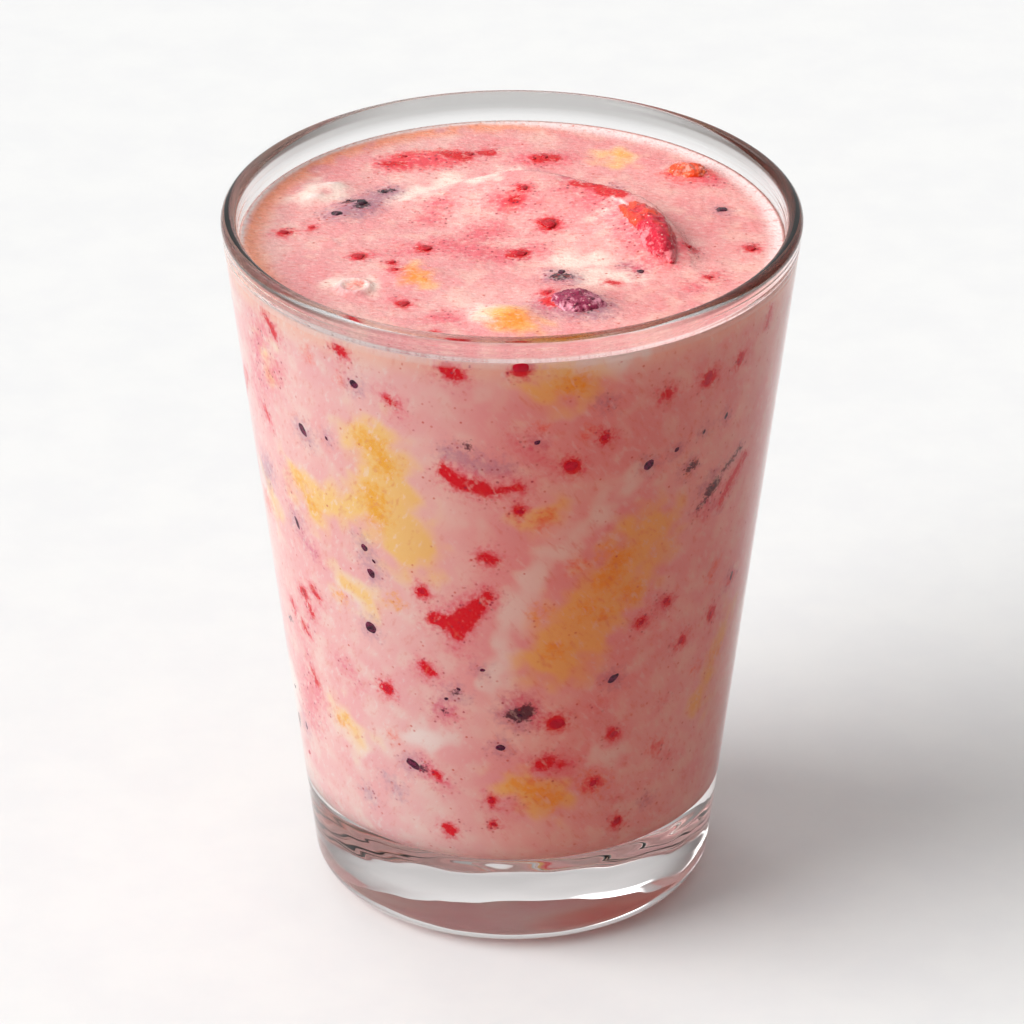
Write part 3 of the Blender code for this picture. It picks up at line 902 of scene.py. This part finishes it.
def linear(hex_colour):
    """An sRGB hex colour as the linear colour that shaders take."""
    channels = [int(hex_colour[i : i + 2], 16) / 255 for i in (1, 3, 5)]
    return (*(c / 12.92 if c <= 0.04045 else ((c + 0.055) / 1.055) ** 2.4 for c in channels), 1.0)


def set_inputs(tree, node, inputs):
    """Sets or links a node's inputs, each by name or number."""
    for socket, value in dict(inputs).items():
        if isinstance(value, bpy.types.NodeSocket):
            tree.links.new(value, node.inputs[socket])
        else:
            node.inputs[socket].default_value = value


def add_node(tree, kind, inputs=(), **settings):
    """Adds a shader node, sets its properties, sets or links its inputs, and gives its outputs."""
    made = tree.nodes.new("ShaderNode" + kind)
    for name, value in settings.items():
        setattr(made, name, value)
    set_inputs(tree, made, inputs)
    return made.outputs


def new_material(name):
    """An empty material and its node tree."""
    made = bpy.data.materials.new(name)
    made.use_nodes = True
    return made, made.node_tree


def finished(made, inputs):
    """A material, once its own shader has been given its inputs."""
    set_inputs(made.node_tree, made.node_tree.nodes["Principled BSDF"], inputs)
    return made


def noise_of(tree, size_mm, detail=2, squeeze=None, turn=(0, 0, 0)):
    """Noise about 0.5 with bumps of a size, drawn out where it is squeezed, and turned, if asked."""
    where = add_node(tree, "TexCoord")["Object"]
    if squeeze:
        angles = [math.radians(angle) for angle in turn]
        turned = add_node(tree, "Mapping", {"Vector": where, "Rotation": angles})[0]
        where = add_node(tree, "Mapping", {"Vector": turned, "Scale": squeeze})[0]
    inputs = {"Vector": where, "Scale": 1 / (size_mm * MM), "Detail": detail, "Roughness": 0.6}
    return add_node(tree, "TexNoise", inputs)["Fac"]


def layered(tree, colour, *layers):
    """Lays colours over one another. Each is given with its share, or with a value, the two numbers between
    which its share rises smoothly, and the share that it reaches."""
    for shade, share, *rise in layers:
        if rise:
            start, end, reach = rise
            share = add_node(tree, "MapRange", {0: share, 1: start, 2: end, 4: reach}, **SMOOTH)[0]
        colour = add_node(tree, "Mix", {0: share, 6: colour, 7: linear(shade)}, **COLOURS)[2]
    return colour


def kept_where(tree, share, *rises):
    """A share, kept only where each of some values has risen smoothly from one number to another."""
    for value, start, end, reach in rises:
        rise = add_node(tree, "MapRange", {0: value, 1: start, 2: end, 4: reach}, **SMOOTH)[0]
        share = add_node(tree, "Math", {0: rise, 1: share}, operation="MULTIPLY")[0]
    return share


def depth_of(tree, colour, rough, amount_mm):
    """How deep the point lies inside a colour, with its edge shifted in and out by a noise, by an amount."""
    inside = add_node(tree, "Attribute", attribute_name=colour)["Fac"]
    slope = amount_mm / NOISE_SPREAD
    middle = add_node(tree, "Math", {0: inside, 1: slope / 2}, operation="SUBTRACT")[0]
    return add_node(tree, "Math", {0: rough, 1: slope, 2: middle}, operation="MULTIPLY_ADD")[0]


def specks_of(tree, spacing_mm, size, share, strength):
    """Scattered dots, some fainter: cells of a spacing, a share of which holds a dot of a size."""
    where = add_node(tree, "TexCoord")["Object"]
    inputs = {"Vector": where, "Scale": 1 / (spacing_mm * MM), "Randomness": 1.0}
    cells = add_node(tree, "TexVoronoi", inputs)
    pick = add_node(tree, "SeparateColor", {"Color": cells["Color"]})
    dots = add_node(tree, "Math", {0: pick[0], 1: share}, operation="LESS_THAN")[0]
    for factor in (pick[1], strength):
        dots = add_node(tree, "Math", {0: dots, 1: factor}, operation="MULTIPLY")[0]
    return kept_where(tree, dots, (cells["Distance"], size, size * 0.4, 1.0))


def fruit_colours(tree, grain, fine, fibres, pale, deep):
    """The colour of the blended drink: pale pink yoghurt with each fruit's pulp laid over it, painted light
    under the level and along the left of the top, froth with painted highlights, and, over all, painted shade
    that deepens its right side.
    """
    swirl, mottle, painted_lit_edge, painted_glow, froth_and_glints, painted_shade = (
        add_node(tree, "Attribute", attribute_name=name)["Fac"]
        for name in ("swirl", "mottle", "painted_lit_edge", "painted_glow", "froth_and_glints", "painted_shade")
    )
    haze = depth_of(tree, "haze", grain, 0.8)
    plum = depth_of(tree, "plum", grain, 0.6)
    near_haze, near_plum = (
        add_node(tree, "MapRange", {0: depth, 1: start, 2: end}, **SMOOTH)[0]
        for depth, start, end in ((haze, -3.0, 1.5), (plum, -2.5, 1.0))
    )
    by_fruit = add_node(tree, "Math", {0: near_haze, 1: near_plum}, operation="MAXIMUM")[0]
    colour = layered(
        tree,
        linear(pale),
        (deep, swirl, 0.3, 0.7, 1.0),
        ("#F8D2C0", mottle, 0.45, 0.85, 0.4),
        ("#EE9295", mottle, 0.55, 0.15, 0.4),
        # painted light: the peach band along the left of the top
        ("#FFA27A", kept_where(tree, painted_lit_edge, (mottle, 0.1, 0.4, 0.85))),
        # painted light just under the level on the wall
        ("#FFA486", painted_glow),
        ("#FBEADC", depth_of(tree, "cream", mottle, 0.6), -1.9, 1.9, 0.8),
        ("#FDB65E", depth_of(tree, "mango", mottle, 0.8), -2.8, 2.8, 0.95),
        ("#FB8E1C", depth_of(tree, "orange", grain, 0.8), -2.4, 1.4, 0.85),
        ("#F2543C", depth_of(tree, "coral", grain, 0.6), -1.8, 1.2, 0.85),
        ("#9C6D85", plum, -1.8, 2.2, 0.75),
        ("#E2445E", haze, -2.2, 3.0, 0.72),
        ("#DE2A3C", depth_of(tree, "red", grain, 0.35), -1.3, 0.5, 0.75),
        ("#D20012", depth_of(tree, "red", fine, 0.16), -0.35, 0.2, 0.97),
        ("#281C28", depth_of(tree, "ink", fine, 0.3), -0.5, 0.3, 0.93),
        ("#8E1830", specks_of(tree, 0.8, 0.38, 0.7, by_fruit)),
        ("#C2483C", specks_of(tree, 1.5, 0.2, 0.6, 0.85)),
        ("#D8604E", fibres, 0.54, 0.7, 0.4),
        ("#FDE6DC", fibres, 0.46, 0.3, 0.3),
        # froth by the wall, with the painted highlights on the top's bumps
        ("#F9ECEA", kept_where(tree, froth_and_glints, (grain, 0.2, 0.5, 1.0))),
    )
    # painted shade: the colour is deepened and rosier on the drink's right
    painted_shade_mix = {0: painted_shade, 6: colour, 7: (1.0, 0.45, 0.385, 1.0)}
    return add_node(tree, "Mix", painted_shade_mix, blend_type="MULTIPLY", **COLOURS)[2]


def blended_drink_open():
    """Blended yoghurt and berries, poured: the open top is wet and shines softly over a fine grain."""
    made, tree = new_material("poured_berry_yoghurt")
    grain, fine = noise_of(tree, 0.9), noise_of(tree, 0.42)
    fibres = noise_of(tree, 0.5, 2, squeeze=(0.45, 1, 1), turn=(0, 0, 8))
    colour = fruit_colours(tree, grain, fine, fibres, "#ECB6B0", "#E79D9D")
    shine = add_node(tree, "MapRange", {0: grain, 1: 0.3, 2: 0.7, 3: 0.2, 4: 0.4}, **SMOOTH)[0]
    grainy = add_node(tree, "Bump", {"Height": grain, "Distance": 0.12 * MM})[0]
    normal = add_node(tree, "Bump", {"Height": fibres, "Distance": 0.05 * MM, "Normal": grainy})[0]
    return finished(made, {"Base Color": colour, "Roughness": shine, "IOR": 1.36, "Normal": normal})


def under_glass(tree, colour):
    """The paler colour that a matt thing under glass needs to show a given colour: the glass turns part of
    the light back into it, which deepens it."""
    weigh = {0: colour, 1: (TURNED_BACK,) * 3, 2: (1 - TURNED_BACK,) * 3}
    beneath = add_node(tree, "VectorMath", weigh, operation="MULTIPLY_ADD")[0]
    return add_node(tree, "VectorMath", {0: colour, 1: beneath}, operation="DIVIDE")[0]


def matt_under_glass(made, colour):
    """A finish for what touches the glass: no air between them, so it has no shine of its own."""
    inputs = {"Base Color": under_glass(made.node_tree, colour), "Roughness": 1.0, "Specular IOR Level": 0.0}
    return finished(made, inputs)


def blended_drink_at_glass():
    """The same drink where it wets the glass, with fibres that lean left or right as it was stirred."""
    made, tree = new_material("berry_yoghurt_against_glass")
    grain, fine = noise_of(tree, 0.9), noise_of(tree, 0.42)
    left, right = (noise_of(tree, 0.9, 4, squeeze=(1, 1, 0.25), turn=(0, lean, 0)) for lean in (-32, 35))
    # the painted shade's share, high on the right, also picks which way the fibres lean
    painted_shade = add_node(tree, "Attribute", attribute_name="painted_shade")["Fac"]
    fibres = add_node(tree, "Mix", {0: painted_shade, 2: left, 3: right})[0]
    return matt_under_glass(made, fruit_colours(tree, grain, fine, fibres, "#F6AFA7", "#F09796"))


def pressed_glass():
    """Soda-lime glass, pressed and fire polished: clear with the faintest grey, smooth, and just uneven
    enough that its reflections waver. Painted shade greys its rim in a band at the back and darkens its lip
    at both sides, where the glass would show dark surroundings."""
    made, tree = new_material("pressed_soda_lime_glass")
    where = add_node(tree, "TexCoord")["Object"]
    across, along, height = add_node(tree, "SeparateXYZ", {0: where})[0:3]
    aside = add_node(tree, "Math", {0: across}, operation="ABSOLUTE")[0]

    def zone(*rises):
        return kept_where(tree, 1.0, *((value, start * MM, end * MM, 1.0) for value, start, end in rises))

    base = zone((height, FLOOR_Z + 3, FLOOR_Z))
    # painted shade: a greyer band round the rim at the back, and a dark lip at both sides
    rim = zone((height, LEVEL + 0.5, LEVEL + 2.5), (along, 8, 28))
    lip = zone((height, HEIGHT - 1.5, HEIGHT - 1.0), (aside, 14, 36))
    streaks = noise_of(tree, 10, 1, squeeze=(0.6, 0.6, 2.0))
    streaks = add_node(tree, "Math", {0: streaks, 1: base}, operation="MULTIPLY")[0]
    wavers = add_node(tree, "Bump", {"Height": noise_of(tree, 9, 1), "Distance": 0.1 * MM})[0]
    inputs = {
        "Base Color": layered(tree, linear("#F9F9F9"), ("#EFEBEA", base), ("#CDCCCB", rim), ("#544C48", lip)),
        "Roughness": 0.0,
        "IOR": 1.52,
        "Transmission Weight": 1.0,
        "Specular Tint": (0.2, 0.2, 0.2, 1.0),
        "Normal": add_node(tree, "Bump", {"Height": streaks, "Distance": 0.15 * MM, "Normal": wavers})[0],
    }
    return finished(made, inputs)


def seed_colours(tree):
    """Near black purple, browner in patches."""
    return layered(tree, linear("#22081A"), ("#5A1632", noise_of(tree, 0.8, 2), 0.35, 0.7, 1.0))


def pulp_colours(tree):
    """Clear deep red, in two depths."""
    return layered(tree, linear("#A60014"), ("#C80820", noise_of(tree, 0.9, 3), 0.35, 0.65, 1.0))


def against_glass(name, colours):
    """Fruit that is pressed flat against the glass, in its wet colours but without a shine."""
    made, tree = new_material(name)
    return matt_under_glass(made, colours(tree))


def wet_seed():
    """Berry seed coats and dark skins, wet: hard, near black purple, with a small sharp shine."""
    made, tree = new_material("wet_berry_seed")
    normal = add_node(tree, "Bump", {"Height": noise_of(tree, 0.3, 2), "Distance": 0.05 * MM})[0]
    colour = seed_colours(tree)
    return finished(made, {"Base Color": colour, "Roughness": 0.25, "IOR": 1.45, "Normal": normal})


def wet_red_pulp():
    """Shreds of strawberry and raspberry flesh, blended: soft, wet and clear red, paler where yoghurt covers
    them."""
    made, tree = new_material("blended_red_pulp")
    colour = layered(tree, pulp_colours(tree), ("#DD6A70", noise_of(tree, 0.6, 2), 0.6, 0.75, 0.4))
    normal = add_node(tree, "Bump", {"Height": noise_of(tree, 0.4, 2), "Distance": 0.08 * MM})[0]
    return finished(made, {"Base Color": colour, "Roughness": 0.3, "IOR": 1.38, "Normal": normal})


def cut_fruit(name, far, near, crumbs, film, film_top):
    """Wet fruit flesh with a grainy cut face, one colour at its far end and another at its near one, with
    crumbs of a third, painted highlights as small pale glints, and its foot under a film of the drink."""
    made, tree = new_material(name)
    where = add_node(tree, "TexCoord")["Object"]
    along, height = add_node(tree, "SeparateXYZ", {0: where})[1:3]
    patches, grain = noise_of(tree, 3.0), noise_of(tree, 0.8)
    both = add_node(tree, "Math", {0: patches, 1: grain}, operation="ADD")[0]
    end_wander, film_wander = 15, 6
    unsteady = {0: patches, 1: 2 * end_wander * MM, 2: along}
    unsteady = add_node(tree, "Math", unsteady, operation="MULTIPLY_ADD")[0]
    ragged = add_node(tree, "Math", {0: both, 1: film_wander * MM, 2: height}, operation="MULTIPLY_ADD")[0]
    film_z = LEVEL + film_top + film_wander
    colour = layered(
        tree,
        linear(near),
        (far, unsteady, (end_wander - 4) * MM, (end_wander + 7) * MM, 1.0),
        (crumbs, grain, 0.54, 0.7, 0.7),
        # painted highlights: small pale glints over the wet flesh
        ("#FFC9C0", specks_of(tree, 0.7, 0.3, 0.5, 0.8)),
        (film, ragged, (film_z + 0.7) * MM, (film_z - 0.7) * MM, 1.0),
    )
    coarse = add_node(tree, "Bump", {"Height": patches, "Distance": 0.2 * MM})[0]
    normal = add_node(tree, "Bump", {"Height": grain, "Distance": 0.18 * MM, "Normal": coarse})[0]
    return finished(made, {"Base Color": colour, "Roughness": 0.3, "IOR": 1.38, "Normal": normal})


def strawberry_flesh():
    """A strip of strawberry, cut and wet: orange red at its far end, crimson at the near one, and grainy."""
    return cut_fruit("cut_strawberry_flesh", "#F04A2C", "#C41632", "#A00C20", "#EA7A80", 1.7)


def strawberry_core():
    """A chip from nearer the strawberry's core: orange, and almost drowned in the drink."""
    return cut_fruit("cut_strawberry_core", "#F04A1C", "#F0501E", "#F8804A", "#EF8A78", 0.5)


def blueberry_skin():
    """A crushed berry: dark plum skin and crimson flesh showing through a mauve film of the drink."""
    return cut_fruit("crushed_berry_skin", "#7C2C52", "#92284A", "#30081C", "#D48496", 1.1)


def pale_board():
    """A painted board to stand on: near white and matt, with the faintest mottle of a rolled coat."""
    made, tree = new_material("rolled_matt_paint")
    colour = layered(tree, linear("#E1E1E1"), ("#E4E4E3", noise_of(tree, 14, 3), 0.3, 0.7, 1.0))
    normal = add_node(tree, "Bump", {"Height": noise_of(tree, 1.5, 2), "Distance": 0.01 * MM})[0]
    return finished(made, {"Base Color": colour, "Roughness": 0.8, "Normal": normal})


def make_floor():
    """A plain pale floor, wide enough to fill the picture from any side."""
    half = FLOOR_HALF
    corners = [(-half, -half, 0), (half, -half, 0), (half, half, 0), (-half, half, 0)]
    floor = add_piece("floor", corners, [(0, 1, 2, 3)], [pale_board()])
    floor.location.z = -FLOOR_DROP * MM


def direction(bearing, elevation):
    """A unit vector towards a bearing and an elevation in degrees."""
    b, e = math.radians(bearing), math.radians(elevation)
    return math.sin(b) * math.cos(e), -math.cos(b) * math.cos(e), math.sin(e)


def make_light():
    """Soft studio light from the surroundings alone: a large soft box low on the left, a dim ceiling, a
    backdrop behind, a narrow strip, a weak fill on the right, and dark walls, so that the glass
    gets dark edges."""
    world = bpy.data.worlds.new("studio")
    world.use_nodes = True
    tree = world.node_tree
    bpy.context.scene.world = world
    where = add_node(tree, "TexCoord")["Generated"]
    strength = DARK_WALLS
    for bearing, elevation, fades, ends, radiance in SOFT_BOXES:
        aim = {0: where, 1: direction(bearing, elevation)}
        towards = add_node(tree, "VectorMath", aim, operation="DOT_PRODUCT")["Value"]
        edge, middle = (math.cos(math.radians(angle)) for angle in (ends, fades))
        light = add_node(tree, "MapRange", {0: towards, 1: edge, 2: middle, 4: radiance}, **SMOOTH)[0]
        strength = add_node(tree, "Math", {0: light, 1: strength}, operation="ADD")[0]
    set_inputs(tree, tree.nodes["Background"], {"Color": linear("#FFFFFF"), "Strength": strength})


def make_camera():
    """The photo's camera: a long lens a little above the rim."""
    camera = bpy.data.objects.new("camera", bpy.data.cameras.new("camera"))
    camera.location = (
        0,
        -CAMERA_DISTANCE * math.cos(CAMERA_ELEVATION),
        CAMERA_TARGET_Z + CAMERA_DISTANCE * math.sin(CAMERA_ELEVATION),
    )
    camera.rotation_euler = (math.pi / 2 - CAMERA_ELEVATION, 0, 0)
    camera.data.sensor_width = SENSOR_MM
    camera.data.lens = FOCAL_PIXELS / IMAGE_PIXELS * SENSOR_MM
    bpy.context.scene.collection.objects.link(camera)
    bpy.context.scene.camera = camera
    bpy.context.scene.view_settings.view_transform = "Standard"


def place(piece, slot, *nodes):
    """Rides a piece on the glass's body and hides the imported nodes that it stands for. The slot is not
    used.
    """
    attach(piece, "root")
    if nodes:
        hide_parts(*nodes)


make_camera()
make_light()
make_floor()

rng = np.random.default_rng(7)
place(make_glass(pressed_glass()), "clear_glass", "glass")
place(make_drink([blended_drink_open(), blended_drink_at_glass()], rng), "smoothie", "smoothie")
FRUIT_FINISHES = {
    "strawberry_piece": (strawberry_flesh, "strawberry"),
    "strawberry_chip": (strawberry_core, "strawberry"),
    "blueberry_piece": (blueberry_skin, "blueberry"),
}
for node, (finish, slot) in FRUIT_FINISHES.items():
    place(fruit_piece(node + "_fine", finish(), **FRUIT[node]), slot, node)
seed_finishes = against_glass("berry_seed_against_glass", seed_colours), wet_seed()
seeds = make_beads("berry_seeds", *seed_finishes, WALL_SEEDS, TOP_SEEDS, BACK_SEED_COUNT, (0.7, 2.2), rng)
place(seeds, "blueberry")
bit_finishes = against_glass("red_pulp_against_glass", pulp_colours), wet_red_pulp()
bits = make_beads("red_bits", *bit_finishes, WALL_BITS, TOP_BITS, BACK_BIT_COUNT, (0.8, 2.4), rng)
place(bits, "strawberry")
